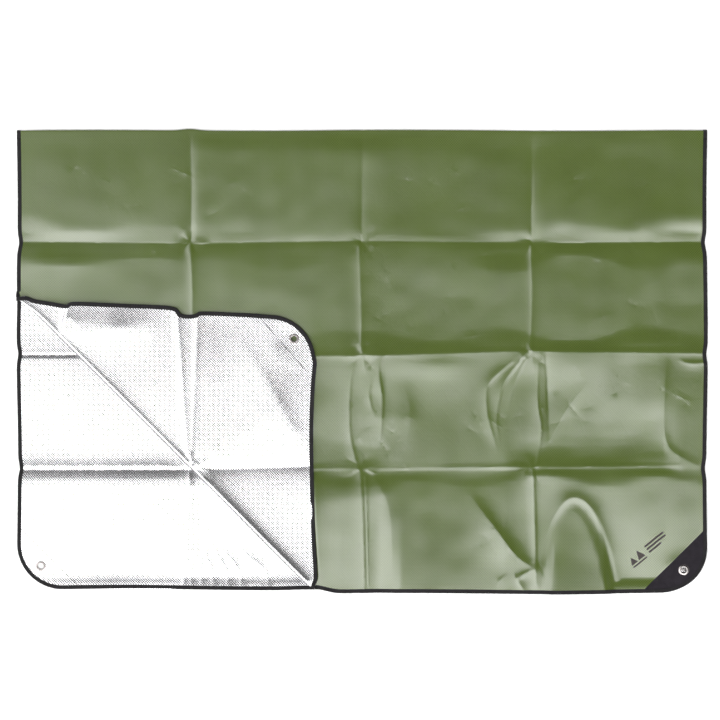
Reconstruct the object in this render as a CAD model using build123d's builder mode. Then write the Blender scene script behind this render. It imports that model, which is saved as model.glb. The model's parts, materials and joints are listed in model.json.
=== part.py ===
from build123d import *
import os
from math import sqrt

# Reusable thermal blanket, lying folded in half with one near corner of the upper half turned over.
# +X runs along the far fold, +Y points away to that fold, +Z is up. The origin is the centre of the
# bounding box, on the surface that the blanket lies on. All lengths are in millimetres.

# The folded blanket
sheet_width = 1500.0
folded_depth = 1008.0
lower_setback = 8.0
corner_radius = 100.0
lower_height = 1.0
ply_spacing = 8.0

# The laminate: olive film, scrim and aluminised film
film_thickness = 0.15
scrim_thickness = 0.20
foil_thickness = 0.15
laminate = film_thickness + scrim_thickness + foil_thickness

# The edge binding: a tape folded over the edge, one leaf on each face
binding_width = 10.0
binding_leaf = 1.0

# The corner patches, sewn on the olive face
patch_leg = 140.0
patch_thickness = 0.35

# The eyelets: a flange on the patch, a barrel through the sheet, and a washer under the rolled lip
eyelet_inset = 51.0
bore_radius = 6.0
barrel_wall = 0.7
flange_radius = 12.0
flange_thickness = binding_leaf - patch_thickness
washer_radius = 11.0
washer_thickness = 0.65
lip_radius = 8.6
lip_thickness = 0.45
rim_round = 0.3

# The turned corner: its fold runs along the line x + y = diagonal_offset
diagonal_offset = -597.0
flap_corner_x = -97.0
flap_corner_y = 96.0
flap_top_drop = 54.0
flap_near_shift = 4.0

# Both folds are half rolls, as wide as the spacing of the plies that they join
fold_radius = (ply_spacing + laminate) / 2
roll_radius = fold_radius + binding_leaf
fold_gap = 0.3
reach = 4000.0

# Levels of each ply's underside
upper_height = lower_height + ply_spacing
flap_height = upper_height + ply_spacing

# Edges and corners of the flat plies
half_width = sheet_width / 2
near_edge = -folded_depth / 2
lower_near_edge = near_edge + lower_setback
far_hinge_y = folded_depth / 2 - roll_radius
far_hinge_z = (lower_height + upper_height + laminate) / 2
corner_hinge_z = (upper_height + flap_height + laminate) / 2
barrel_radius = bore_radius + barrel_wall

os.makedirs("parts", exist_ok=True)


# Blanks: each ply's outer edge, run on past its fold, so that an inset leaves the folded side alone
with BuildSketch() as lower_blank:
    with Locations((0, lower_near_edge)):
        Rectangle(sheet_width, reach, align=(Align.CENTER, Align.MIN))
    fillet(lower_blank.vertices().group_by(Axis.Y)[0], radius=corner_radius)

with BuildSketch() as upper_blank:
    with Locations((0, near_edge)):
        Rectangle(sheet_width, reach, align=(Align.CENTER, Align.MIN))
    fillet(upper_blank.vertices().group_by(Axis.Y)[0], radius=corner_radius)

# The turned corner has sagged out of square: its top edge drops and its right edge leans
flap_corner = Vector(flap_corner_x, flap_corner_y)
flap_left = Vector(-half_width, flap_corner_y + flap_top_drop)
flap_near = Vector(flap_corner_x + flap_near_shift, near_edge)
along_top = (flap_left - flap_corner).normalized()
along_side = (flap_near - flap_corner).normalized()

with BuildSketch() as flap_blank:
    Polygon(
        flap_corner,
        flap_corner + along_top * reach,
        flap_corner + (along_top + along_side) * reach,
        flap_corner + along_side * reach,
        align=None,
    )
    fillet(flap_blank.vertices().sort_by_distance(flap_corner)[0], radius=corner_radius)


# Clips: the side of each fold on which a ply lies
with BuildSketch() as before_far_fold:
    with Locations((0, far_hinge_y)):
        Rectangle(reach, reach, align=(Align.CENTER, Align.MAX))

with BuildSketch() as upper_clip:
    with Locations((0, far_hinge_y - fold_gap)):
        Rectangle(reach, reach, align=(Align.CENTER, Align.MAX))
    Polygon(
        (-reach, diagonal_offset + reach),
        (diagonal_offset + reach, -reach),
        (reach, reach),
        align=None,
        mode=Mode.INTERSECT,
    )

flap_offset = diagonal_offset + fold_gap * sqrt(2)
with BuildSketch() as flap_clip:
    Polygon(
        (-reach, flap_offset + reach),
        (flap_offset + reach, -reach),
        (reach, reach),
        align=None,
    )


# Corners that carry a patch and an eyelet: the corner point and the directions of its two edges
right, left, up = Vector(1, 0), Vector(-1, 0), Vector(0, 1)
corners = {
    "lower_left": ("lower", Vector(-half_width, lower_near_edge), right, up),
    "lower_right": ("lower", Vector(half_width, lower_near_edge), left, up),
    "upper_right": ("upper", Vector(half_width, near_edge), left, up),
    "flap": ("flap", flap_corner, along_top, along_side),
}

# Plies: blank, clip, level of the underside, and whether the olive face looks down
plies = {
    "lower": (lower_blank.sketch, before_far_fold.sketch, lower_height, True),
    "upper": (upper_blank.sketch, upper_clip.sketch, upper_height, False),
    "flap": (flap_blank.sketch, flap_clip.sketch, flap_height, True),
}


def eyelet_centres(ply_name):
    """The centres of the eyelets through one ply."""
    return [
        corner + (first + second) * eyelet_inset
        for ply, corner, first, second in corners.values()
        if ply == ply_name
    ]


def stacked(underside, thicknesses, olive_down):
    """Lowest level of each layer, for layers given from the olive side to the silver side."""
    levels = []
    level = underside if olive_down else underside + sum(thicknesses)
    for thickness in thicknesses:
        levels.append(level if olive_down else level - thickness)
        level += thickness if olive_down else -thickness
    return levels


# The three layers of each ply, cut back from the binding's folded edge and bored for the eyelets
layer_thicknesses = [film_thickness, scrim_thickness, foil_thickness]
layer_names = ["outer_film", "scrim", "foil"]
for ply_name, (blank, clip, underside, olive_down) in plies.items():
    levels = stacked(underside, layer_thicknesses, olive_down)
    for layer_name, level, thickness in zip(layer_names, levels, layer_thicknesses):
        with BuildPart() as layer:
            with BuildSketch(Plane.XY.offset(level)):
                add(blank)
                offset(amount=-binding_leaf, kind=Kind.INTERSECTION)
                add(clip, mode=Mode.INTERSECT)
                with Locations(*eyelet_centres(ply_name)):
                    Circle(barrel_radius, mode=Mode.SUBTRACT)
            extrude(amount=thickness)
        layer.part.label = f"{ply_name}_{layer_name}"
        export_step(layer.part, f"parts/{ply_name}_{layer_name}.step")


# The corner patches: a triangle across each corner, on the olive face, caught under the binding
patches = {}
for corner_name, (ply_name, corner, first, second) in corners.items():
    blank, clip, underside, olive_down = plies[ply_name]
    patch_level = underside - patch_thickness if olive_down else underside + laminate
    with BuildPart() as patch:
        with BuildSketch(Plane.XY.offset(patch_level)):
            add(blank)
            offset(amount=-binding_leaf, kind=Kind.INTERSECTION)
            Polygon(
                corner + first * patch_leg,
                corner + second * patch_leg,
                corner - (first + second) * patch_leg,
                align=None,
                mode=Mode.INTERSECT,
            )
            with Locations(corner + (first + second) * eyelet_inset):
                Circle(barrel_radius, mode=Mode.SUBTRACT)
        extrude(amount=patch_thickness)
    patch.part.label = f"{corner_name}_patch"
    export_step(patch.part, f"parts/{corner_name}_patch.step")
    patches[corner_name] = patch.part


# The edge binding of each ply: a band along its free edges, with a slot for the sheet and its patches
for ply_name, (blank, clip, underside, olive_down) in plies.items():
    with BuildPart() as binding:
        with BuildSketch(Plane.XY.offset(underside - binding_leaf)):
            add(blank)
            add(clip, mode=Mode.INTERSECT)
        extrude(amount=laminate + 2 * binding_leaf)
        with BuildSketch(Plane.XY.offset(underside - binding_leaf)):
            add(blank)
            offset(amount=-binding_width, kind=Kind.INTERSECTION)
        extrude(amount=laminate + 2 * binding_leaf, mode=Mode.SUBTRACT)
        with BuildSketch(Plane.XY.offset(underside)):
            add(blank)
            offset(amount=-binding_leaf, kind=Kind.INTERSECTION)
        extrude(amount=laminate, mode=Mode.SUBTRACT)
        for corner_name, patch_solid in patches.items():
            if corners[corner_name][0] == ply_name:
                add(patch_solid, mode=Mode.SUBTRACT)
    binding.part.label = f"{ply_name}_binding"
    export_step(binding.part, f"parts/{ply_name}_binding.step")


# The eyelets and their washers: the flange lies on the patch, the lip is rolled over the washer
through = laminate + patch_thickness + washer_thickness + lip_thickness
for corner_name, (ply_name, corner, first, second) in corners.items():
    blank, clip, underside, olive_down = plies[ply_name]
    towards_silver = 1 if olive_down else -1
    olive_face = underside if olive_down else underside + laminate
    patch_face = olive_face - towards_silver * patch_thickness
    silver_face = olive_face + towards_silver * laminate
    washer_face = silver_face + towards_silver * washer_thickness
    centre = corner + (first + second) * eyelet_inset
    with BuildPart() as eyelet:
        with BuildSketch(Plane.XY.offset(patch_face)):
            with Locations(centre):
                Circle(flange_radius)
        extrude(amount=-towards_silver * flange_thickness)
        flange_rim = eyelet.edges().filter_by(GeomType.CIRCLE).sort_by(Axis.Z)
        fillet(flange_rim[0] if olive_down else flange_rim[-1], radius=rim_round)
        with BuildSketch(Plane.XY.offset(patch_face)):
            with Locations(centre):
                Circle(barrel_radius)
        extrude(amount=towards_silver * through)
        with BuildSketch(Plane.XY.offset(washer_face)):
            with Locations(centre):
                Circle(lip_radius)
        extrude(amount=towards_silver * lip_thickness)
        with Locations((centre.X, centre.Y, patch_face)):
            Hole(bore_radius)
    eyelet.part.label = f"{corner_name}_eyelet"
    export_step(eyelet.part, f"parts/{corner_name}_eyelet.step")
    with BuildPart() as washer:
        with BuildSketch(Plane.XY.offset(silver_face)):
            with Locations(centre):
                Circle(washer_radius)
                Circle(barrel_radius, mode=Mode.SUBTRACT)
        extrude(amount=towards_silver * washer_thickness)
    washer.part.label = f"{corner_name}_washer"
    export_step(washer.part, f"parts/{corner_name}_washer.step")


# The folds: half rolls of the laminate, with the binding's bends at their two ends.
# Each plane's X points outward from the fold and its normal runs along it.
diagonal_left = Vector(-half_width, diagonal_offset + half_width)
diagonal_near = Vector(diagonal_offset - near_edge, near_edge)
diagonal_centre = (diagonal_left + diagonal_near) * 0.5
diagonal_length = (diagonal_near - diagonal_left).length - 2 * roll_radius
diagonal_binding = binding_width * sqrt(2)
far_fold_plane = Plane((0, far_hinge_y, far_hinge_z), x_dir=(0, 1, 0), z_dir=(1, 0, 0))
corner_fold_plane = Plane(
    (diagonal_centre.X, diagonal_centre.Y, corner_hinge_z), x_dir=(-1, -1, 0), z_dir=(1, -1, 0)
)
folds = {
    "far_fold": (far_fold_plane, sheet_width, binding_width, "right"),
    "corner_fold": (corner_fold_plane, diagonal_length, diagonal_binding, "near"),
}
for fold_name, (plane, length, bend_length, second_end) in folds.items():
    with BuildPart() as strip:
        with BuildSketch(plane):
            Circle(fold_radius)
            Circle(fold_radius - laminate, mode=Mode.SUBTRACT)
            Rectangle(reach, reach, align=(Align.MAX, Align.CENTER), mode=Mode.SUBTRACT)
        extrude(amount=length / 2 - binding_leaf, both=True)
    strip.part.label = f"{fold_name}_strip"
    export_step(strip.part, f"parts/{fold_name}_strip.step")
    for end_name, side in (("left", -1), (second_end, 1)):
        with BuildPart() as bend:
            with BuildSketch(plane.offset(side * length / 2)):
                Circle(roll_radius)
                Circle(fold_radius - laminate - binding_leaf, mode=Mode.SUBTRACT)
                Rectangle(reach, reach, align=(Align.MAX, Align.CENTER), mode=Mode.SUBTRACT)
            extrude(amount=-side * bend_length)
            add(strip.part, mode=Mode.SUBTRACT)
        bend.part.label = f"{fold_name}_{end_name}_binding"
        export_step(bend.part, f"parts/{fold_name}_{end_name}_binding.step")
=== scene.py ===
import json
import math

import bpy
import numpy as np
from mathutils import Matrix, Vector
from mathutils.geometry import delaunay_2d_cdt


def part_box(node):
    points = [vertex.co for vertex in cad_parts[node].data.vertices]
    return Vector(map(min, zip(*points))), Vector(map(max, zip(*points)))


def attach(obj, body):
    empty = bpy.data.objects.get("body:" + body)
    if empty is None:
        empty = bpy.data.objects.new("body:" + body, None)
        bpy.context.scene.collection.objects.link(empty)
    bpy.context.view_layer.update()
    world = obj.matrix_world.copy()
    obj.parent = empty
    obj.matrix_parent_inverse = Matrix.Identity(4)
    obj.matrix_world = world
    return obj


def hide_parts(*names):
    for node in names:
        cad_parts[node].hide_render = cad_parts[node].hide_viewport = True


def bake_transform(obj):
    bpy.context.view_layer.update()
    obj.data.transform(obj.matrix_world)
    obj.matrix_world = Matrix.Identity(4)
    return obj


# A reusable thermal blanket lying folded in half, olive side out, with one corner of the upper half
# turned over. Lengths are metres. "mm" turns the sizes of folds and trims into metres.
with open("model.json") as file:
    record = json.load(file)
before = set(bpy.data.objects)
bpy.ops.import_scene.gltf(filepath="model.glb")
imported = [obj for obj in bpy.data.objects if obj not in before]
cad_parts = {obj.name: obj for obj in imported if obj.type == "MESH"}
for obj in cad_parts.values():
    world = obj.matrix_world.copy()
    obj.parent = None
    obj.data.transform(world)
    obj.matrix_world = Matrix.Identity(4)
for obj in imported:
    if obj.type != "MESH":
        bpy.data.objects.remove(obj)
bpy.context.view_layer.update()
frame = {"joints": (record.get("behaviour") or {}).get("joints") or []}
mm = 0.001
UP = np.array((0.0, 0.0, 1.0))

# ---------------------------------------------------------------- places taken from the frame


def middle(node):
    """The centre of a CAD node's box."""
    low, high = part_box(node)
    return np.array((low + high) / 2)


joints = {joint["name"]: joint for joint in frame["joints"]}
half_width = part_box("upper_binding")[1].x
near_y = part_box("upper_binding")[0].y
lower_near_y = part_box("lower_binding")[0].y
far_hinge = np.array(joints["half_fold"]["pos_m"])
corner_hinge = np.array(joints["corner_fold"]["pos_m"])
lower_level = middle("lower_scrim")[2]
upper_level = middle("upper_scrim")[2]
flap_level = middle("flap_scrim")[2]
flap_corner_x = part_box("flap_binding")[1].x
corner_radius = 100 * mm
fold_radius = (upper_level - lower_level) / 2

# The turned corner's fold line: its direction, and the way in over the sheet
along_fold = np.array((math.sqrt(0.5), -math.sqrt(0.5)))
into_sheet = np.array((math.sqrt(0.5), math.sqrt(0.5)))
fold_sum = corner_hinge[0] + corner_hinge[1]
fold_start = np.array((-half_width, fold_sum + half_width))
fold_end = np.array((fold_sum - near_y, near_y))
fold_length = np.linalg.norm(fold_end - fold_start)

eyelet_nodes = ("lower_left_eyelet", "lower_right_eyelet", "upper_right_eyelet", "flap_eyelet")
eyelet_centres = {node: middle(node)[:2] for node in eyelet_nodes}

# ---------------------------------------------------------------- folds and waves of the sheets


def smooth(value):
    """0 below 0, 1 above 1, with soft ends."""
    value = np.clip(value, 0, 1)
    return value * value * (3 - 2 * value)


def path_distance(x, y, points):
    """Each place's distance to a path, its side from -1 on the right to 1 on the left, which changes softly
    round the path's ends, and how far along the path it is, from 0 to 1."""
    points = np.array(points, float)
    steps = np.diff(points, axis=0)
    lengths = np.linalg.norm(steps, axis=1)
    before = np.concatenate(([0], np.cumsum(lengths)))
    best = np.full(np.shape(x), 1e9)
    side = np.ones(np.shape(x))
    along = np.zeros(np.shape(x))
    for start, step, length, travelled in zip(points, steps, lengths, before):
        dx, dy = x - start[0], y - start[1]
        share = np.clip((dx * step[0] + dy * step[1]) / length**2, 0, 1)
        distance = np.hypot(dx - share * step[0], dy - share * step[1])
        sideways = (step[0] * dy - step[1] * dx) / (length * np.maximum(distance, 1e-9))
        nearer = distance < best
        best = np.where(nearer, distance, best)
        side = np.where(nearer, np.clip(sideways, -1, 1), side)
        along = np.where(nearer, (travelled + share * length) / before[-1], along)
    return best, side, along


def inside(points, polygon):
    """Which points lie within a closed outline."""
    x, y = points[:, 0], points[:, 1]
    found = np.zeros(len(points), bool)
    for (x1, y1), (x2, y2) in zip(polygon, np.roll(polygon, -1, axis=0)):
        crosses = (y1 > y) != (y2 > y)
        with np.errstate(divide="ignore", invalid="ignore"):
            found ^= crosses & (x < (x2 - x1) * (y - y1) / (y2 - y1) + x1)
    return found


def spline(points, count):
    """A smooth curve through a few points."""
    points = np.array(points, float)
    padded = np.vstack((2 * points[0] - points[1], points, 2 * points[-1] - points[-2]))
    curve = []
    for index in range(len(points) - 1):
        p0, p1, p2, p3 = padded[index : index + 4]
        t = np.linspace(0, 1, count, endpoint=index == len(points) - 2)[:, None]
        second = 2 * p0 - 5 * p1 + 4 * p2 - p3
        third = 3 * p1 - p0 - 3 * p2 + p3
        curve.append(0.5 * (2 * p1 + (p2 - p0) * t + second * t**2 + third * t**3))
    return np.vstack(curve)


def travelled_along(points):
    """How far along a path each of its points lies."""
    return np.concatenate(([0], np.cumsum(np.linalg.norm(np.diff(points, axis=0), axis=1))))


class Fold:
    """A ridge or valley along a path: its rises in mm at even steps, how far its sides reach on the left
    and on the right of the path, and how round its tip is. A path of three or more points is a curve."""

    def __init__(self, points, rises, left, right=None, tip=1.2):
        self.points = np.array(points, float) * mm
        if len(points) > 2:
            self.points = spline(self.points, 4)
        self.rises = rises
        self.left = left
        self.right = left if right is None else right
        self.tip = tip

    def height(self, x, y):
        # a fold has died away eight times its reach from its path
        span = 8 * max(self.left, self.right) * mm
        low, high = self.points.min(axis=0) - span, self.points.max(axis=0) + span
        near = (x > low[0]) & (x < high[0]) & (y > low[1]) & (y < high[1])
        distance, side, along = path_distance(x[near], y[near], self.points)
        rise = np.interp(along, np.linspace(0, 1, len(self.rises)), self.rises)
        reach = self.right + (self.left - self.right) * (side + 1) / 2
        out = np.sqrt((distance / mm) ** 2 + self.tip**2) - self.tip
        heights = np.zeros(np.shape(x))
        heights[near] = rise * np.exp(-out / reach) * mm
        return heights


def waves(x, y, wavelength, seed, count=14):
    """A field of soft random waves of about one wavelength, from -1 to 1 in the main."""
    chance = np.random.default_rng(seed)
    total = np.zeros(np.shape(x))
    for _ in range(count):
        turn = chance.uniform(0, math.tau)
        rate = math.tau / (wavelength * chance.uniform(0.7, 1.4))
        phase = chance.uniform(0, math.tau)
        total += np.sin((x * math.cos(turn) + y * math.sin(turn)) * rate + phase)
    return total * math.sqrt(2 / count)


def star(centre, radius, seed, count=9, rise=0.9):
    """Short sharp wrinkles that radiate from a crossing of two creases."""
    chance = np.random.default_rng(seed)
    folds = []
    for spoke in range(count):
        turn = math.tau * (spoke + chance.uniform(0.15, 0.85)) / count
        reach = radius * chance.uniform(0.5, 1.0)
        start = (centre[0] + 7 * math.cos(turn), centre[1] + 7 * math.sin(turn))
        end = (centre[0] + reach * math.cos(turn + 0.12), centre[1] + reach * math.sin(turn + 0.12))
        height = rise * chance.uniform(0.5, 1.0) * (-1 if spoke % 2 else 1)
        folds.append(Fold((start, end), (0.6 * height, height, 0), 5, tip=0.8))
    return folds


def crinkles(centre, spread, count, seed):
    """Fine short wrinkles scattered about a place, mostly along two slanting directions."""
    chance = np.random.default_rng(seed)
    folds = []
    for index in range(count):
        middle_x, middle_y = np.array(centre) + chance.normal(0, spread, 2)
        turn = math.radians((35 if index % 2 else 130) + chance.uniform(-25, 25))
        half = chance.uniform(12, 40)
        bend = chance.uniform(-0.25, 0.25) * half
        dx, dy = half * math.cos(turn), half * math.sin(turn)
        path = (
            (middle_x - dx, middle_y - dy),
            (middle_x - bend * math.sin(turn), middle_y + bend * math.cos(turn)),
            (middle_x + dx, middle_y + dy),
        )
        rise = chance.uniform(0.15, 0.38) * (-1 if index % 3 else 1)
        folds.append(Fold(path, (0, rise, 0), 2.6, tip=0.6))
    return folds


# Storage creases, in mm: three each way, which part each half into four columns and four rows
column_x = (-374, 3, 370)
row_y = (258, 16, -232)

# The upper half's rise along its depth, as (y, rise) in mm: its far rows, and how strong they are at each x
far_profile = (
    (505, 0), (430, 0), (300, -0.4), (284, -1.2), (261, -3.2), (240, -1.2),
    (215, 0.6), (130, -0.6), (55, -0.4), (16, 2.6), (-30, 1.0), (-60, 0),
)
strength_x = (-750, -562, -374, -186, 3, 186, 370, 560, 750)
far_strength = (1.05, 1.05, 0.8, 0.35, 0.5, 0.45, 0.9, 1.1, 1.1)
# its near rows beside the turned corner, in the third column, in the last one and along the right edge
near_profiles = (
    ((16, 2.4), (-30, 1.2), (-175, -1.4), (-226, -0.4), (-238, -0.4), (-262, 2.0), (-290, 2.7), (-500, -0.3)),
    ((16, 2.0), (-30, 1.0), (-120, 0.5), (-226, 0.2), (-238, 0.0), (-262, 1.8), (-300, 2.8), (-500, 7.0)),
    (
        (16, 3.4), (-30, 1.8), (-130, -3.0), (-165, -3.8), (-190, -3.5), (-212, -2.3),
        (-229, -0.6), (-237, -0.4), (-246, 1.2), (-258, 1.7), (-500, -4.8),
    ),
    ((16, 1.6), (-30, 1.1), (-120, 1.3), (-226, 1.6), (-237, 1.0), (-262, 1.8), (-500, -4.0)),
)
# where along x each near profile holds, as (x, profile); between two places they blend
near_stations = ((-110, 0), (40, 0), (80, 1), (310, 1), (360, 2), (655, 2), (690, 3), (750, 3))

upper_folds = [
    # rows, from the far fold to the near edge
    Fold(
        ((-752, 259), (-374, 256), (3, 261), (370, 257), (752, 259)),
        (-0.9, -0.9, -0.7, -0.6, -0.5, -0.5, -0.7, -0.9, -0.9), 5, tip=0.7,
    ),
    Fold(
        ((-752, 16), (-374, 14), (3, 13), (370, 23), (752, 18)),
        (0.5, 0.5, 0.5, 0.6, 0.6, 0.6, 0.8, 1.0, 0.8), 6, tip=0.7,
    ),
    Fold(
        ((-380, -233), (3, -233), (374, -229), (690, -226)),
        (0.5, 0.7, 0.4, 0.35, 0.7, 0.7, 0.3), 5, 3, tip=0.6,
    ),
    # columns
    Fold(((-374, 500), (-371, 380), (-372, 262)), (-0.6, -1.6, -2.2), 10, 12, tip=0.8),
    Fold(((-372, 254), (-368, 140), (-370, 18)), (1.8, 1.6, 1.2), 8, 9, tip=0.8),
    Fold(((1, 500), (0, 380), (-2, 262)), (-0.6, -1.4, -2.0), 14, 12, tip=0.8),
    Fold(((-6, 252), (-2, 140), (0, 22)), (1.2, 1.6, 1.8), 10, 9, tip=0.8),
    Fold(((370, 500), (368, 380), (367, 262)), (-0.6, -1.8, -2.6), 12, 14, tip=0.8),
    Fold(((368, 252), (370, 140), (366, 28)), (1.8, 2.0, 2.2), 12, 9, tip=0.8),
    Fold(((-3, -240), (2, -340), (6, -510)), (1.6, 2.6, 2.4), 4, 20, tip=0.7),
    Fold(((8, -250), (11, -340), (15, -510)), (0.8, 1.0, 0.8), 3, 4, tip=0.6),
    Fold(((372, -236), (375, -340), (378, -480)), (1.6, 2.4, 1.4), 4, 9, tip=0.7),
    # pleats and soft folds between the creases
    Fold(((44, 8), (36, -22), (44, -90), (38, -190)), (1.4, 2.8, 2.4, 0), 5, 34, tip=0.8),
    Fold(((-14, 2), (-26, -60), (-26, -160), (-10, -226)), (0.8, 1.5, 1.5, 0.8), 4, 11, tip=0.8),
    Fold(((22, -30), (16, -80), (30, -130)), (0, 1.2, 0), 3, 8, tip=0.8),
    Fold(((88, -50), (104, -110), (92, -195)), (0, 2.2, 0), 14, 34, tip=4),
    Fold(
        ((348, 8), (309, -45), (296, -95), (292, -130), (300, -180)),
        (1.6, 2.2, 2.0, 1.2, 0), 3.5, 13, tip=0.8,
    ),
    Fold(
        ((325, 0), (276, -45), (270, -95), (279, -145), (296, -200)),
        (1.0, 1.8, 1.9, 1.4, 0), 6, 15, tip=1.5,
    ),
    Fold(((356, 6), (330, -50), (316, -110)), (1.4, 1.2, 0), 3, 8, tip=0.8),
    Fold(((383, -4), (382, -90), (390, -150), (380, -222)), (0.8, 1.6, 1.6, 0.8), 4, 10, tip=0.8),
    Fold(((400, 12), (404, -70), (407, -174)), (-1.4, -2.6, -1.0), 26, 6, tip=0.8),
    Fold(((481, -58), (440, -112), (409, -172)), (0.3, 1.1, 0.8), 8, 12, tip=1.0),
    Fold(
        ((660, -6), (657, -60), (655, -120), (658, -165), (676, -198), (728, -224)),
        (1.0, 2.2, 2.4, 2.2, 1.4, 0.4), 9, 30, tip=3,
    ),
    Fold(((690, 4), (712, -4), (748, -2)), (0.4, 1.2, 0.8), 5, 7, tip=1.0),
    Fold(((20, -244), (40, -276), (61, -338), (66, -500)), (0.8, 1.5, 1.9, 1.7), 15, 30, tip=4),
    Fold(((240, -298), (283, -355), (333, -421), (368, -447)), (0.8, 3.4, 4.0, 2.2), 13, 55, tip=4),
    Fold(((352, -500), (340, -470), (372, -452)), (1.2, 1.8, 0.8), 5, 10, tip=1.0),
    Fold(((290, -500), (300, -474), (318, -462)), (0.8, 1.2, 0), 5, 8, tip=1.0),
    Fold(((-40, -250), (-44, -360), (-58, -500)), (0, 1.3, 1.0), 16, 22, tip=8),
    # broad tilts of single panels
    Fold(((-740, 226), (-420, 224)), (1.6, 0.6), 10, 55, tip=4),
    Fold(((-340, 470), (-30, 470)), (1.6, 1.6), 20, 160, tip=30),
    Fold(((400, 290), (740, 290)), (0.5, 0.7), 110, 14, tip=6),
    # the sheet falls away from under the turned corner's edge
    Fold(((-104, 40), (-108, -150), (-102, -300), (-90, -500)), (0, 2.4, 2.8, 2.6), 17, 10, tip=2),
]
# where the upper half is crumpled most: x, y, how widely, and how many wrinkles
crumpled = (
    (320, -400, 32, 12), (300, -110, 40, 10), (60, -150, 35, 8), (430, -90, 40, 8),
    (700, -60, 25, 6), (-300, 400, 60, 8), (-560, 380, 70, 8), (180, 330, 80, 8),
    (560, 380, 80, 8), (560, 120, 90, 8), (180, 130, 80, 8),
)
# an arch beside the last column crease, and the swell inside it
arch_places = (
    (380, -535), (390, -430), (408, -358), (434, -312), (460, -296),
    (488, -308), (514, -345), (540, -410), (568, -535),
)
arch_path = spline(arch_places, 5)
upper_folds.append(Fold(arch_path, (1.8, 2.4, 2.4, 2.0, 1.4), 14, 8, tip=4))
upper_folds.append(Fold(((505, -330), (524, -400), (530, -498)), (0.6, 1.6, 1.4), 8, 16, tip=3))
for index, (x, y) in enumerate((x, y) for y in row_y for x in column_x[1:]):
    upper_folds += star((x, y), 55, 40 + index, rise=0.6)
upper_folds += star((column_x[0], row_y[0]), 50, 60)
upper_folds += star((column_x[0], row_y[1]), 50, 61)
for index, (x, y, spread, count) in enumerate(crumpled):
    upper_folds += crinkles((x, y), spread, count, 120 + index)

flap_folds = [
    Fold(((-402, 122), (-388, -60), (-378, -216)), (1.4, 1.6, 1.6), 9, 6, tip=0.8),
    Fold(((-356, 112), (-362, -60), (-370, -216)), (1.4, 1.4, 1.6), 6, 9, tip=0.8),
    Fold(((-372, -234), (-240, -232), (-95, -226)), (-2.4, -2.0, -2.4), 15, 20),
    Fold(((-636, 128), (-646, 84), (-648, 60)), (1.7, 3.2, 1.2), 60, 4.5, tip=0.8),
    Fold(((-640, 66), (-560, 70), (-440, 84)), (2.8, 3.0, 0), 40, 26, tip=6),
    Fold(((-260, 40), (-205, -50), (-150, -150)), (0.2, 1.2, 1.8), 15, 40, tip=7),
    Fold(((-330, 104), (-200, 84)), (1.0, 1.5), 30, 95, tip=20),
    Fold(((-150, -20), (-200, -120), (-300, -190)), (0, 1.6, 0), 34, 28, tip=12),
    Fold(((-320, 80), (-330, -40), (-352, -160)), (0, 1.6, 0.6), 26, 30, tip=12),
]
flap_folds += star((-372, -228), 60, 71, count=11, rise=1.3)

# The lower half's rise along its depth: small steps at its creases, and up to the edge tape
lower_profile = (
    (505, 0), (262, 0.8), (256, 0), (120, 1.8), (60, 0.6), (30, 0.7), (19, 1.7),
    (14, 0.8), (8, 3.0), (-60, 2.4), (-200, 0.2), (-220, 0.5), (-230, 1.6), (-235, 0.1),
    (-243, 2.2), (-254, 4.0), (-270, 4.7), (-340, 3.0), (-470, 0.2), (-488, 2.2),
)

# the lower half's column creases
lower_folds = [
    Fold(((-374, 500), (-374, -236), (-388, -498)), (1.2, 1.0, 1.2, 1.0), 7, tip=0.8),
    Fold(((2, 500), (0, -498)), (1.2, 1.2, 1.2), 8, tip=0.8),
    Fold(((371, 500), (372, -498)), (1.2, 1.2, 1.2), 8, tip=0.8),
    # the rows' own creases, whose sides are in lower_profile
    Fold(((-752, 13), (752, 13)), (-0.3, -0.3), 7, tip=0.8),
    Fold(((-752, -233), (752, -233)), (-0.3, -0.3), 7, tip=0.8),
]
# folds that fan out from the first column's crease to the near edge
lower_folds += [
    Fold(((x, -500), (x - 6, -455), (-372 + (x + 372) * 0.55, -400)), (0.2, 1.0, 0), 7, 5, tip=1.0)
    for x in (-368, -346, -322, -290, -262, -205)
]
for index, (x, y) in enumerate((x, y) for y in row_y for x in column_x):
    lower_folds += star((x, y), 45, 140 + index, count=7, rise=0.4)


eyelet_flange = 12 * mm
calm_width = 45 * mm


def calm_at_eyelets(x, y, nodes):
    """0 on the eyelets, where the sheet lies at its own level, and 1 well away from them."""
    share = np.ones(np.shape(x))
    for node in nodes:
        centre = eyelet_centres[node]
        share = share * smooth((np.hypot(x - centre[0], y - centre[1]) - eyelet_flange) / calm_width)
    return share


def clearance(from_edge, reach):
    """How far apart two plies' middles must lie: further near the blanket's edge, where both carry tape."""
    return mm * (1.4 + 2.1 * (1 - smooth(from_edge / reach)))


def fold_inset(x, y):
    """How far in over the sheet a place lies from the turned corner's fold line."""
    return (x + y - fold_sum) * math.sqrt(0.5)


def beside_far_fold(y):
    """The sheets lie flatter along the far fold, where they turn together."""
    return 0.35 + 0.65 * smooth((far_hinge[1] - y) / (45 * mm))


def arch_swell(x, y):
    """Inside the arch the sheet swells up towards the near edge."""
    distance, side, _ = path_distance(x, y, arch_path * mm)
    inner = np.where(side < 0, smooth(distance / (34 * mm)), 0) * (y < -290 * mm)
    within = inside(np.stack((x, y), axis=-1).reshape(-1, 2), arch_path * mm).reshape(np.shape(x))
    arch_top = -296 * mm
    return np.where(within, inner, 0) * (1.0 * mm + 0.046 * (arch_top - y))


def rounded_profile(y, profile, radius):
    """A piecewise straight profile with its corners rounded off, in metres."""
    places = np.array(profile, float)[::-1] * mm
    shifts = np.linspace(-radius, radius, 7)
    return sum(np.interp(y + shift, places[:, 0], places[:, 1]) for shift in shifts) / len(shifts)


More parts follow.
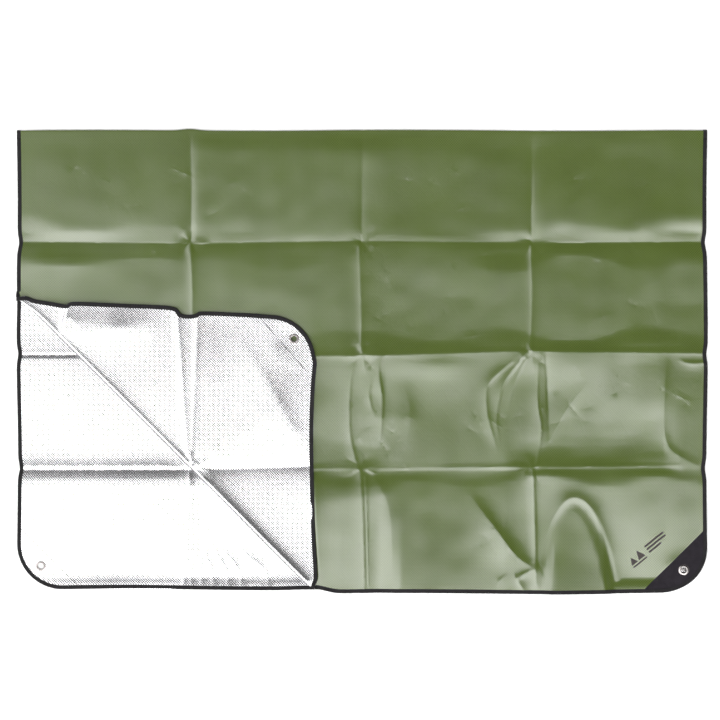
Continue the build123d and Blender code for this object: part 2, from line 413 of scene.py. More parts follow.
def lower_z(x, y):
    """The height of the lower half's middle."""
    relief = sum(fold.height(x, y) for fold in lower_folds) + rounded_profile(y, lower_profile, 2 * mm)
    relief = relief + 0.25 * mm * waves(x, y, 0.26, 3)
    relief = np.clip(relief, -0.3 * mm, 6 * mm) * beside_far_fold(y)
    return lower_level + relief * calm_at_eyelets(x, y, eyelet_nodes[:2])


def upper_z(x, y):
    """The height of the upper half's middle, which nowhere sinks into the lower half."""
    relief = sum(fold.height(x, y) for fold in upper_folds)
    off_crease = np.min([np.abs(y - row * mm) for row in row_y], axis=0)
    wandering = y + 9 * mm * waves(x, y, 0.22, 16) * smooth(off_crease / (30 * mm))
    strength = np.interp(x, np.array(strength_x) * mm, far_strength)
    far = rounded_profile(wandering, far_profile, 7 * mm) * strength
    station = np.interp(x, *np.array(near_stations, float).T * ((mm,), (1,)))
    weights = [np.maximum(0, 1 - np.abs(station - index)) for index in range(len(near_profiles))]
    heights = (rounded_profile(wandering, profile, 6 * mm) for profile in near_profiles)
    near = sum(weight * height for weight, height in zip(weights, heights))
    share = smooth((y + 20 * mm) / (60 * mm))
    shape = (near + (far - near) * share) * (1 + 0.3 * waves(x, y, 0.35, 15))
    relief = relief + shape + arch_swell(x, y)
    relief = relief + 0.45 * mm * waves(x, y, 0.30, 5) + 0.10 * mm * waves(x, y, 0.07, 17)
    near_turn = np.exp(-np.maximum(fold_inset(x, y), 0) / (30 * mm))
    relief = relief * beside_far_fold(y) * (1 - 0.8 * near_turn)
    from_edge = np.minimum(half_width - np.abs(x), y - near_y)
    resting = lower_z(x, y) + clearance(from_edge, 50 * mm)
    return np.maximum(upper_level + relief * calm_at_eyelets(x, y, eyelet_nodes[2:3]), resting)


def flap_z(x, y):
    """The height of the turned corner's middle, which nowhere sinks into the upper half."""
    relief = sum(fold.height(x, y) for fold in flap_folds)
    relief = relief + 0.4 * mm * waves(x, y, 0.22, 8)
    across = np.maximum(fold_inset(x, y), 0)
    # the laminate resists the fold, so the turned corner stands up beside it, more towards the near edge
    stiffness = 1.4 + 1.0 * smooth((x + 400 * mm) / (250 * mm))
    towards_near = smooth((x + 440 * mm) / (120 * mm))
    bulge = mm * (2.0 * towards_near * np.exp(-across / (24 * mm)) + stiffness * np.exp(-across / (6.5 * mm)))
    rise = (relief + bulge) * calm_at_eyelets(x, y, eyelet_nodes[3:])
    # laid back flat, its rises point down at the lower half, which they must not reach
    cut_x, cut_y = fold_sum - y, fold_sum - x
    from_edge = np.minimum(cut_x + half_width, cut_y - near_y)
    room = upper_level - lower_z(cut_x, cut_y) - clearance(from_edge, 60 * mm)
    softness = 0.3 * mm
    rise = -softness * np.logaddexp(-rise / softness, -room / softness)
    resting = upper_z(x, y) + 2.2 * mm
    return np.maximum(flap_level + rise, resting)


def drift(x, y):
    """How far the two halves' edges have been pulled out of line, where creases end and between them."""
    towards_side = smooth((np.abs(x) - (half_width - 70 * mm)) / (70 * mm))
    pull = -3.5 * mm * sum(np.exp(-(((y - row * mm) / (16 * mm)) ** 2)) for row in row_y)
    dx = np.sign(x) * towards_side * (pull + 1.6 * mm * np.sin(y * 11 + 1))
    far_share = smooth((y - far_hinge[1] + 60 * mm) / (60 * mm))
    near_share = smooth((near_y + 60 * mm - y) / (60 * mm))
    peak = 3.5 * mm * np.exp(-(((x - column_x[0] * mm) / (22 * mm)) ** 2))
    dy = far_share * (peak + 1.0 * mm * np.sin(x * 9 + 0.6)) + near_share * 1.8 * mm * np.sin(x * 10 + 0.5)
    clear_of_turn = smooth(np.abs(x + y - fold_sum) / (90 * mm))
    return dx * clear_of_turn, dy * clear_of_turn


def closeness(x, y, place, reach):
    """1 at a place, falling to 0 round it."""
    return np.exp(-((np.hypot(x - place[0], y - place[1]) / reach) ** 2))


near_end_pull = 14 * mm
near_end_reach = 25 * mm
far_end_pull = 13 * mm
far_end_reach = 45 * mm


def upper_drift(x, y):
    """As drift, with the turned corner's near end drawn back along the fold."""
    dx, dy = drift(x, y)
    near_end = near_end_pull * closeness(x, y, fold_end, near_end_reach)
    return dx - along_fold[0] * near_end, dy - along_fold[1] * near_end


def flap_drift(x, y):
    """The turned corner's ends are drawn in: its far one towards the near edge, and its near one back."""
    near_end = near_end_pull * closeness(x, y, fold_end, near_end_reach)
    far_end = -far_end_pull * closeness(x, y, fold_start, far_end_reach)
    return -along_fold[0] * near_end, far_end - along_fold[1] * near_end


class Ply:
    """One flat run of the laminate: where each of its points lies, and which way it faces there."""

    def __init__(self, height, shift):
        self.height = height
        self.shift = shift

    def points(self, xy):
        x, y = xy[:, 0], xy[:, 1]
        dx, dy = self.shift(x, y)
        return np.stack((x + dx, y + dy, self.height(x, y)), axis=1)

    def place(self, xy):
        """Positions and upward normals at places given in the ply's own plane."""
        step = 0.8 * mm
        east = self.points(xy + (step, 0)) - self.points(xy - (step, 0))
        north = self.points(xy + (0, step)) - self.points(xy - (0, step))
        normal = np.cross(east, north)
        return self.points(xy), normal / np.linalg.norm(normal, axis=1, keepdims=True)


lower_ply = Ply(lower_z, drift)
upper_ply = Ply(upper_z, upper_drift)
flap_ply = Ply(flap_z, flap_drift)

# ---------------------------------------------------------------- outlines


def arc(centre, radius, start, stop, count):
    """Points round part of a circle; angles in degrees."""
    turns = np.radians(np.linspace(start, stop, count))
    return np.array(centre) + radius * np.stack((np.cos(turns), np.sin(turns)), axis=1)


def resample(points, spacing):
    """The same path with its points evenly spaced."""
    points = np.array(points, float)
    travelled = travelled_along(points)
    count = max(2, round(travelled[-1] / spacing) + 1)
    stops = np.linspace(0, travelled[-1], count)
    return np.stack([np.interp(stops, travelled, points[:, axis]) for axis in range(points.shape[1])], axis=1)


# how far a fold's strip runs out over each ply, and how many points lie along its seam
flat_run = 14 * mm
seam_rows = 120
edge_spacing = 7 * mm


def turn_seam(inset):
    """Where a strip round the turned corner's fold meets a ply: inset is positive on the upper half and
    negative on the turned corner. The strip's ends follow the blanket's left and near edges."""
    steps = np.linspace(-inset, fold_length + inset, seam_rows)[:, None]
    return fold_start + steps * along_fold + abs(inset) * into_sheet


def half_edge(bottom):
    """The free edge of a half, from the far fold down the left side, along the near edge and up the right."""
    hinge_y = far_hinge[1] - flat_run
    side = half_width - corner_radius
    return resample(
        np.vstack(
            (
                ((-half_width, hinge_y),),
                arc((-side, bottom + corner_radius), corner_radius, 180, 270, 24),
                arc((side, bottom + corner_radius), corner_radius, 270, 360, 24),
                ((half_width, hinge_y),),
            )
        ),
        edge_spacing,
    )


upper_seam = turn_seam(flat_run)
flap_seam = turn_seam(-flat_run)
lower_edge = half_edge(lower_near_y)
whole_upper_edge = half_edge(near_y)
upper_left_edge = resample(((-half_width, far_hinge[1] - flat_run), upper_seam[0]), edge_spacing)
right_part = whole_upper_edge[whole_upper_edge[:, 0] > upper_seam[-1][0] + 4 * mm]
right_part = right_part[right_part[:, 0] + right_part[:, 1] > fold_sum + 20 * mm]
upper_right_edge = resample(np.vstack((upper_seam[-1:], right_part)), edge_spacing)

# The turned corner's free edge: it dips where creases cross it
flap_top = np.array(
    (
        (-700, 136), (-640, 123), (-628, 129), (-520, 125), (-412, 119),
        (-392, 103), (-362, 102), (-350, 108), (-260, 105), (-205, 101),
    )
)
flap_side = np.array(((-98, -2), (-103, -60), (-106, -150), (-105, -240), (-102, -360), (-97, -450)))
flap_edge = resample(
    np.vstack(
        (
            spline(np.vstack((flap_seam[:1], flap_top * mm)), 12),
            arc((-206 * mm, 0), 101 * mm, 84, 8, 20) + (4 * mm, 0),
            spline(np.vstack((flap_side * mm, flap_seam[-1:])), 12),
        )
    ),
    edge_spacing,
)[::-1]

# ---------------------------------------------------------------- meshes


def beside(points, offset):
    """A path moved sideways."""
    direction = np.gradient(points, axis=0)
    direction /= np.linalg.norm(direction, axis=1, keepdims=True)
    return points + offset * np.stack((-direction[:, 1], direction[:, 0]), axis=1)


def fold_rows(folds):
    """Rows of points along folds and beside them, closer together on the sharper ones."""
    rows = []
    for fold in folds:
        broad = fold.tip >= 5
        slight = max(map(abs, fold.rises)) < 0.8 and np.ptp(fold.points, axis=0).max() < 120 * mm
        straight = len(fold.points) == 2
        if broad:
            spacing, offsets = 12, (0,)
        elif slight:
            spacing, offsets = 7, (0, -1.6, 1.6)
        else:
            spacing, offsets = 12 if straight else 5, (0, -1.2, 1.2, -3.4, 3.4)
            if max(fold.left, fold.right) > 6:
                offsets += (-7.5, 7.5)
        path = resample(fold.points, spacing * mm)
        rows += [beside(path, offset * mm) for offset in offsets]
    return rows


def fill(outline, holes, folds, spacing):
    """Triangles that fill an outline, closer together along its folds."""
    fixed = [outline, *holes]
    low, high = outline.min(axis=0), outline.max(axis=0)
    across, along = (np.arange(low[axis], high[axis], spacing) for axis in (0, 1))
    grid = np.stack(np.meshgrid(across, along), -1).reshape(-1, 2)
    # a point is kept if no earlier group has one within so many cells of it; the borders are kept whole
    cell = 1.1 * mm
    taken = set()
    kept = []
    for group, cells in ((np.vstack(fixed), 3), *((row, 1) for row in fold_rows(folds)), (grid, 3)):
        keys = np.floor((group - low) / cell).astype(int)
        reach = range(-cells, cells + 1)
        whole = not kept
        new = []
        for point, (column, row) in zip(group, keys):
            if whole or (column, row) not in taken:
                new.append((column, row))
                kept.append(point)
        for column, row in new:
            taken.update((column + i, row + j) for i in reach for j in reach)
    kept = np.array(kept)
    count = sum(len(loop) for loop in fixed)
    border, extra = kept[:count], kept[count:]
    extra = extra[inside(extra, outline)]
    for hole in holes:
        extra = extra[~inside(extra, hole)]
    points = np.vstack((border, extra))
    edges = []
    first = 0
    for loop in fixed:
        edges += [(first + i, first + (i + 1) % len(loop)) for i in range(len(loop))]
        first += len(loop)
    found = delaunay_2d_cdt([Vector(p) for p in points], edges, [], 0, 1e-7)
    points = np.array([tuple(p) for p in found[0]])
    triangles = np.array(found[2])
    centres = points[triangles].mean(axis=1)
    keep = inside(centres, outline)
    for hole in holes:
        keep &= ~inside(centres, hole)
    triangles = triangles[keep]
    a, b, c = points[triangles[:, 0]], points[triangles[:, 1]], points[triangles[:, 2]]
    turned = (b[:, 0] - a[:, 0]) * (c[:, 1] - a[:, 1]) < (b[:, 1] - a[:, 1]) * (c[:, 0] - a[:, 0])
    triangles[turned] = triangles[turned][:, ::-1]
    used = np.unique(triangles)
    renumber = np.zeros(len(points), int)
    renumber[used] = np.arange(len(used))
    return points[used], renumber[triangles]


def make_object(name, vertices, faces, flat=None, normals=None):
    """A mesh object; flat gives each vertex its place in the cut sheet, which the materials read."""
    mesh = bpy.data.meshes.new(name)
    mesh.from_pydata(np.asarray(vertices).tolist(), [], [list(map(int, face)) for face in faces])
    mesh.polygons.foreach_set("use_smooth", [True] * len(mesh.polygons))
    if flat is None:
        flat = np.asarray(vertices)
    attribute = mesh.attributes.new("flat_place", "FLOAT_VECTOR", "POINT")
    attribute.data.foreach_set("vector", np.asarray(flat, np.float32).ravel())
    mesh.update()
    if normals is not None:
        mesh.normals_split_custom_set_from_vertices(np.asarray(normals).tolist())
    made = bpy.data.objects.new(name, mesh)
    bpy.context.scene.collection.objects.link(made)
    return made


def rims(faces):
    """The border edges of a set of faces, in the faces' own direction."""
    seen = {}
    for face in faces:
        for a, b in zip(face, (*face[1:], face[0])):
            if (b, a) in seen:
                del seen[b, a]
            else:
                seen[a, b] = True
    return list(seen)


def thin_solid(name, middle_points, normals, faces, low, high, flat):
    """A closed layer between two offsets from a surface."""
    count = len(middle_points)
    vertices = np.vstack((middle_points + high * normals, middle_points + low * normals))
    faces = [tuple(map(int, face)) for face in faces]
    under = [tuple(index + count for index in reversed(face)) for face in faces]
    walls = [(b, a, a + count, b + count) for a, b in rims(faces)]
    flats = np.hstack((np.vstack((flat, flat)), np.zeros((2 * count, 1))))
    return make_object(name, vertices, faces + under + walls, flats, np.vstack((normals, -normals)))


# The laminate's two films, as heights above its middle
half_laminate = 0.25 * mm
film = 0.15 * mm
UPPER_FACE = (half_laminate - film, half_laminate)
LOWER_FACE = (-half_laminate, -half_laminate + film)


eyelet_hole = 8 * mm
film_inset = 1.5 * mm


def as_cut(xy):
    """Where the turned corner's points were before it was turned over."""
    return np.stack((fold_sum - xy[:, 1], fold_sum - xy[:, 0]), axis=1)


def make_films(ply_name, ply, outline, hole_nodes, folds, olive_up, spacing=12 * mm):
    """The olive film and the aluminised film of one ply, bored for its eyelets."""
    holes = [arc(eyelet_centres[node], eyelet_hole, 0, 350, 36) for node in hole_nodes]
    xy, triangles = fill(outline, holes, folds, spacing)
    points, normals = ply.place(xy)
    flat = as_cut(xy) if ply is flap_ply else xy
    faces = (UPPER_FACE, LOWER_FACE) if olive_up else (LOWER_FACE, UPPER_FACE)
    return {
        layer: thin_solid(f"{ply_name}_{layer}_sheet", points, normals, triangles, *face, flat)
        for layer, face in zip(("outer_film", "foil"), faces)
    }


def closed_outline(*runs):
    """Joins runs of an outline, dropping doubled points."""
    points = np.vstack(runs)
    keep = np.linalg.norm(points - np.roll(points, 1, axis=0), axis=1) > 0.3 * mm
    return points[keep]


far_line_y = far_hinge[1] - flat_run
far_seam_x = np.linspace(-half_width, half_width, seam_rows * 2)
far_seam = np.stack((far_seam_x, np.full(seam_rows * 2, far_line_y)), axis=1)

lower_outline = closed_outline(far_seam[::-1], beside(lower_edge, film_inset))
upper_left_film = beside(upper_left_edge, film_inset)
upper_right_film = beside(upper_right_edge, film_inset)
upper_outline = closed_outline(far_seam[::-1], upper_left_film, upper_seam, upper_right_film)
flap_outline = closed_outline(flap_seam, beside(flap_edge, film_inset))

lower_films = make_films("lower", lower_ply, lower_outline, eyelet_nodes[:2], lower_folds, False, 17 * mm)
upper_films = make_films("upper", upper_ply, upper_outline, eyelet_nodes[2:3], upper_folds, True)
flap_films = make_films("flap", flap_ply, flap_outline, eyelet_nodes[3:], flap_folds, False)

# ---------------------------------------------------------------- the folds between the plies

roll_steps = 8
flat_steps = 4


def make_strip(bottom, top, seam_at, outward, end_tightness):
    """A fold: the laminate leaves the bottom ply, turns half round and runs back over the top one. seam_at
    gives the places of a line at a distance in from the fold, on the bottom ply or, below 0, on the top.
    The fold bulges out less at its ends, where the edge tape holds it."""
    rows = [bottom.place(seam_at(inset)) for inset in np.linspace(flat_run, 0, flat_steps + 1)[:-1]]
    upper_rows = [top.place(seam_at(-inset)) for inset in np.linspace(0, flat_run, flat_steps + 1)[1:]]
    low = bottom.points(seam_at(0.0))
    high = top.points(seam_at(-0.0))
    centre, half = (low + high) / 2, (high - low) / 2
    ease = np.minimum(np.arange(len(low)), np.arange(len(low))[::-1]) / (0.05 * len(low))
    radius = half[:, 2:] * (1 - end_tightness * (1 - smooth(ease)))[:, None]
    for turn in np.linspace(-math.pi / 2, math.pi / 2, roll_steps):
        places = centre + half * math.sin(turn) + radius * math.cos(turn) * outward
        facing = math.sin(turn) * UP + math.cos(turn) * outward
        rows.append((places, np.tile(facing, (len(places), 1))))
    rows = [(places, -normals) for places, normals in rows[:flat_steps]] + rows[flat_steps:] + upper_rows
    grid = np.array([places for places, _ in rows])
    normals = np.array([normals for _, normals in rows])
    return grid, normals


def strip_faces(rows, columns):
    """The quads of a grid of points."""
    firsts = [row * columns + column for row in range(rows - 1) for column in range(columns - 1)]
    return [(first, first + 1, first + columns + 1, first + columns) for first in firsts]


def far_seam_at(inset):
    return far_seam + (0, flat_run - abs(inset))


far_grid, far_normals = make_strip(lower_ply, upper_ply, far_seam_at, np.array((0.0, 1.0, 0.0)), 0.2)
turn_outward = np.array((-into_sheet[0], -into_sheet[1], 0.0))
turn_grid, turn_normals = make_strip(upper_ply, flap_ply, turn_seam, turn_outward, 0.65)

folds = {}
for name, grid, normals, start_xy, run in (
    ("far_fold", far_grid, far_normals, (-half_width, far_line_y), (1.0, 0.0)),
    ("corner_fold", turn_grid, turn_normals, fold_start, along_fold),
):
    rows, columns = grid.shape[:2]
    along = np.linspace(0, np.linalg.norm(grid[0, -1] - grid[0, 0]), columns)
    around = np.concatenate(([0], np.cumsum(np.linalg.norm(np.diff(grid, axis=0), axis=2).mean(axis=1))))
    run = np.array(run)
    across = np.array((-run[1], run[0]))
    flat = np.array(start_xy) + along[None, :, None] * run + around[:, None, None] * across
    places, facing, flat = grid.reshape(-1, 3), normals.reshape(-1, 3), flat.reshape(-1, 2)
    faces = strip_faces(rows, columns)
    a, b, c = (places[faces[0][corner]] for corner in (0, 1, 2))
    if np.dot(np.cross(b - a, c - a), facing[faces[0][0]]) < 0:
        faces = [face[::-1] for face in faces]
    outer_name, inner_name = ("outer_film", "foil") if name == "far_fold" else ("foil", "outer_film")
    folds[name] = {
        outer_name: thin_solid(f"{name}_{outer_name}_strip", places, facing, faces, *UPPER_FACE, flat),
        inner_name: thin_solid(f"{name}_{inner_name}_strip", places, facing, faces, *LOWER_FACE, flat),
    }

# ---------------------------------------------------------------- edge binding and its stitching

# The binding's section, in mm: u runs in from the blanket's edge and v up from the middle of the laminate
tape_section = np.array(
    (
        (8.6, 0.32), (1.4, 0.32), (1.0, 0.0), (1.4, -0.32), (8.6, -0.32), (8.6, -0.72), (7.6, -0.92),
        (6.9, -0.70), (6.1, -0.95), (3.8, -1.12), (1.6, -1.0), (0.4, -0.62), (0.0, 0.0), (0.4, 0.62),
        (1.6, 1.0), (3.8, 1.12), (6.1, 0.95), (6.9, 0.70), (7.6, 0.92), (8.6, 0.72),
    )
) * mm
# the first of its points lie inside, against the laminate
slot_points = 5
stitch_inset = 6.9 * mm
stitch_groove = 0.70 * mm
stitch_pitch = 5 * mm
stitch_length = 3.6 * mm
stitch_height = 0.25 * mm
# a stitch has a point at each end and a triangle near each: its faces over those eight corners
stitch_faces = (
    (0, 1, 2), (0, 2, 3), (0, 3, 1),
    (1, 4, 5, 2), (2, 5, 6, 3), (3, 6, 4, 1),
    (4, 7, 5), (5, 7, 6), (6, 7, 4),
)
tape_spacing = 6 * mm


def unit(vectors):
    return vectors / np.linalg.norm(vectors, axis=-1, keepdims=True)


def edge_frames(ply, edge, spacing):
    """Places, normals and inward directions along a ply's free edge, whose sheet is on the path's left."""
    path = resample(edge, spacing)
    places, normals = ply.place(path)
    tangents = unit(np.gradient(places, axis=0))
    return places, normals, unit(np.cross(normals, tangents))


def strip_end_frames(grid, column, neighbour):
    """The same round a fold, at one end of its strip."""
    places = grid[:, column]
    tangents = unit(np.gradient(places, axis=0))
    inward = grid[:, neighbour] - places
    inward = unit(inward - (inward * tangents).sum(axis=1, keepdims=True) * tangents)
    return places, unit(np.cross(tangents, inward)), inward


def sweep_tape(name, frames, seed):
    """The folded binding tape along an edge, drawn in a little between its stitches."""
    places, normals, inward = frames
    chance = np.random.default_rng(seed)
    travelled = travelled_along(places)
    ease = smooth(np.minimum(travelled, travelled[-1] - travelled) / (12 * mm))
    phase = travelled / (11 * mm) * math.tau + 2.2 * np.sin(travelled / (37 * mm))
    pucker = ease * 0.5 * np.sin(phase) + ease * chance.uniform(-0.5, 0.5, len(places))
    rings = []
    for index, (u, v) in enumerate(tape_section):
        outer = 0.0 if index < slot_points else 1.0
        height = v * (1 + 0.20 * outer * pucker)
        reach = u + outer * 0.22 * mm * pucker * (1 if u > 5 * mm else -1)
        rings.append(places + inward * reach[:, None] + normals * height[:, None])
    points = np.stack(rings, axis=1)
    stations, around = points.shape[:2]
    faces = []
    for station in range(stations - 1):
        for index in range(around):
            a = station * around + index
            b = station * around + (index + 1) % around
            faces.append((a, b, b + around, a + around))
    faces.append(tuple(range(around))[::-1])
    faces.append(tuple((stations - 1) * around + index for index in range(around)))
    flat = np.zeros((stations, around, 3))
    flat[..., 0] = travelled[:, None]
    flat[..., 1] = np.cumsum(np.linalg.norm(np.diff(tape_section, axis=0, prepend=tape_section[:1]), axis=1))
    return make_object(name, points.reshape(-1, 3), faces, flat.reshape(-1, 3))


def stitch_run(name, frames, inset, height, both_sides=True, pitch=stitch_pitch, wide=0.4 * mm):
    """A row of separate stitches at a height over the laminate's middle, on one side or both."""
    places, normals, inward = frames
    travelled = travelled_along(places)
    count = max(1, int(travelled[-1] / pitch))
    stops = (np.arange(count) + 0.5) * travelled[-1] / count

    def at(values):
        return np.stack([np.interp(stops, travelled, values[:, axis]) for axis in range(3)], axis=1)

    here, up, inner = at(places), unit(at(normals)), unit(at(inward))
    along = unit(np.cross(inner, up))
    half = stitch_length / 2
    vertices, faces = [], []
    for side in (1, -1) if both_sides else (1,):
        base = here + inner * inset + up * side * height
        corners = (
            base - along * half,
            base + inner * wide - along * half * 0.4,
            base + up * side * stitch_height - along * half * 0.5,
            base - inner * wide - along * half * 0.4,
            base + inner * wide + along * half * 0.4,
            base + up * side * stitch_height + along * half * 0.5,
            base - inner * wide + along * half * 0.4,
            base + along * half,
        )
        first = len(vertices)
        vertices += list(np.stack(corners, axis=1).reshape(-1, 3))
        for stitch in range(count):
            a = first + stitch * len(corners)
            faces += [tuple(a + i for i in (face if side < 0 else face[::-1])) for face in stitch_faces]
    return make_object(name, vertices, faces)


edge_runs = {
    "lower_edge": edge_frames(lower_ply, lower_edge, tape_spacing),
    "upper_left_edge": edge_frames(upper_ply, upper_left_edge, tape_spacing),
    "upper_right_edge": edge_frames(upper_ply, upper_right_edge, tape_spacing),
    "flap_edge": edge_frames(flap_ply, flap_edge, tape_spacing),
}
bend_ends = {
    "far_fold_left": strip_end_frames(far_grid, 0, 1),
    "far_fold_right": strip_end_frames(far_grid, -1, -2),
    "corner_fold_left": strip_end_frames(turn_grid, 0, 1),
    "corner_fold_near": strip_end_frames(turn_grid, -1, -2),
}
tapes = {}
stitching = {}
for first_seed, runs in ((100, edge_runs), (200, bend_ends)):
    for seed, (name, frames) in enumerate(runs.items(), first_seed):
        tapes[name] = sweep_tape(f"{name}_tape", frames, seed)
        stitching[name] = stitch_run(f"{name}_stitching", frames, stitch_inset, stitch_groove)

# ---------------------------------------------------------------- corner patches

patch_leg = 140 * mm
patch_thickness = 0.35 * mm
patch_gap = 0.04 * mm
# how far a patch's edge runs in under the tape, and its seam in from its long edge
patch_hidden = 4 * mm
patch_seam_inset = 3 * mm
patch_step = 8 * mm
patch_stitch_pitch = 4 * mm
# on the far side the seam's stitches are wider, and stand clear of the foil
seam_back_height = half_laminate + 0.3 * mm
seam_back_width = 0.9 * mm
flap_corner = np.array((flap_corner_x, eyelet_centres["flap_eyelet"][1] + 47 * mm))
# each patch: its ply, the corner where the sheet's edges meet, the ways along them, and its side of the ply
patch_places = {
    "lower_left": (lower_ply, (-half_width, lower_near_y), (1, 0), (0, 1), -1),
    "lower_right": (lower_ply, (half_width, lower_near_y), (0, 1), (-1, 0), -1),
    "upper_right": (upper_ply, (half_width, near_y), (0, 1), (-1, 0), 1),
    "flap": (flap_ply, flap_corner, (-1, 0.08), (-0.06, -1), -1),
}
patches = {}
patch_stitching = {}
for name, (ply, corner, first, second, side) in patch_places.items():
    corner, first, second = np.array(corner), unit(np.array(first, float)), unit(np.array(second, float))
    turns = np.radians(np.linspace(0, 90, 14))[:, None]
    outwards = np.sin(turns) * first + np.cos(turns) * second
    around_corner = corner + corner_radius * (first + second) - (corner_radius - patch_hidden) * outwards
    first_end = corner + first * patch_leg + second * patch_hidden
    second_end = corner + second * patch_leg + first * patch_hidden
    far_ends = np.array((first_end, second_end))
    rounded = np.vstack((far_ends[1:], around_corner[::-1], far_ends[:1]))
    outline = closed_outline(resample(rounded, patch_step), resample(far_ends, patch_step))
    hole = arc(eyelet_centres[f"{name}_eyelet"], eyelet_hole, 0, 350, 24)
    xy, triangles = fill(outline, [hole], [], patch_step)
    places, normals = ply.place(xy)
    low, high = half_laminate + patch_gap, half_laminate + patch_gap + patch_thickness
    if side < 0:
        low, high = -high, -low
    patches[name] = thin_solid(f"{name}_patch_cloth", places, normals, triangles, low, high, xy)
    seam = resample(far_ends - patch_seam_inset * unit(first + second), stitch_pitch)
    seam_places, seam_normals = ply.place(seam)
    seam_inward = unit(np.cross(seam_normals, unit(np.gradient(seam_places, axis=0))))
    front = (seam_places, seam_normals * side, seam_inward)
    back = (seam_places, -seam_normals * side, seam_inward)
    front_height = half_laminate + patch_thickness
    patch_stitching[name] = (
        stitch_run(f"{name}_patch_seam", front, 0, front_height, False, patch_stitch_pitch),
        stitch_run(
            f"{name}_patch_seam_back", back, 0, seam_back_height, False, patch_stitch_pitch, seam_back_width
        ),
    )

# ---------------------------------------------------------------- eyelets

ring_steps = 40


def lathe(name, centre, base, section, side):
    """A ring turned from its section of radii and heights, in mm, about an eyelet's centre."""
    turns = np.linspace(0, math.tau, ring_steps, endpoint=False)
    section = np.array(section) * mm
    vertices = []
    for radius, height in section:
        x, y = np.cos(turns) * radius + centre[0], np.sin(turns) * radius + centre[1]
        vertices += list(np.stack((x, y, np.full(ring_steps, base + side * height)), axis=1))
    faces = []
    for index in range(len(section)):
        here, there = index * ring_steps, (index + 1) % len(section) * ring_steps
        for step in range(ring_steps):
            next_step = (step + 1) % ring_steps
            face = (here + step, here + next_step, there + next_step, there + step)
            faces.append(face if side > 0 else face[::-1])
    return make_object(name, vertices, faces)


# the barrel's bore, the flange over the sheet, and the rim rolled over the washer
eyelet_section = (
    (6.0, -1.0), (6.0, 0.9), (6.15, 1.5), (6.8, 1.95), (7.8, 2.05),
    (9.2, 1.9), (10.6, 1.5), (11.6, 1.05), (12.0, 0.72), (11.8, 0.64),
    (8.6, 0.64), (6.8, 0.5), (6.8, -0.7), (7.2, -1.2), (8.1, -1.42),
    (8.6, -1.3), (8.5, -1.55), (7.6, -1.75), (6.6, -1.6),
)
washer_section = (
    (7.2, -0.30), (11.0, -0.30), (11.0, -0.72), (10.4, -0.92), (9.2, -0.98), (8.0, -0.86), (7.2, -0.60),
)
eyelets = {}
washers = {}
for node in eyelet_nodes:
    name = node.removesuffix("_eyelet")
    centre = middle(node)
    washer_z = middle(f"{name}_washer")[2]
    level = {"lower": lower_level, "upper": upper_level, "flap": flap_level}[name.split("_")[0]]
    side = 1 if washer_z < level else -1
    eyelets[name] = lathe(f"{name}_eyelet_ring", centre, level, eyelet_section, side)
    washers[name] = lathe(f"{name}_washer_ring", centre, level, washer_section, side)

# ---------------------------------------------------------------- print beside the right corner

# A generic mark: two peaks on a ground line, and three plain bars, set at a slant
mark_centre = np.array((half_width - 152 * mm, near_y + 78 * mm))
mark_turn = math.radians(39)
mark_along = np.array((math.cos(mark_turn), math.sin(mark_turn)))
mark_up = np.array((-mark_along[1], mark_along[0]))


def bar(left, low, length, thickness):
    """An upright rectangle's corners, in mm."""
    right, high = left + length, low + thickness
    return ((left, low), (right, low), (right, high), (left, high))


mark_shapes = [((-20, -8), (-3, -8), (-11.5, 8)), ((-1, -8), (18, -8), (8, 13)), bar(-20, -14.5, 38, 3.4)]
mark_shapes += [bar(27, low, length, 4.2) for low, length in ((5.5, 52), (-2.1, 52), (-9.7, 34))]
print_lift = 0.25 * mm
mark_vertices, mark_faces, mark_normals = [], [], []
for shape in mark_shapes:
    shape = resample((*shape, shape[0]), 3.0)[:-1] * mm
    local, triangles = fill(shape, [], [], 3 * mm)
    xy = mark_centre + local[:, :1] * mark_along + local[:, 1:] * mark_up
    places, normals = upper_ply.place(xy)
    first = len(mark_vertices)
    mark_vertices += list(places + (half_laminate + print_lift) * normals)
    mark_normals += list(normals)
    mark_faces += [tuple(first + index for index in triangle) for triangle in triangles]
mark = make_object("corner_print", mark_vertices, mark_faces, None, mark_normals)

# ---------------------------------------------------------------- materials


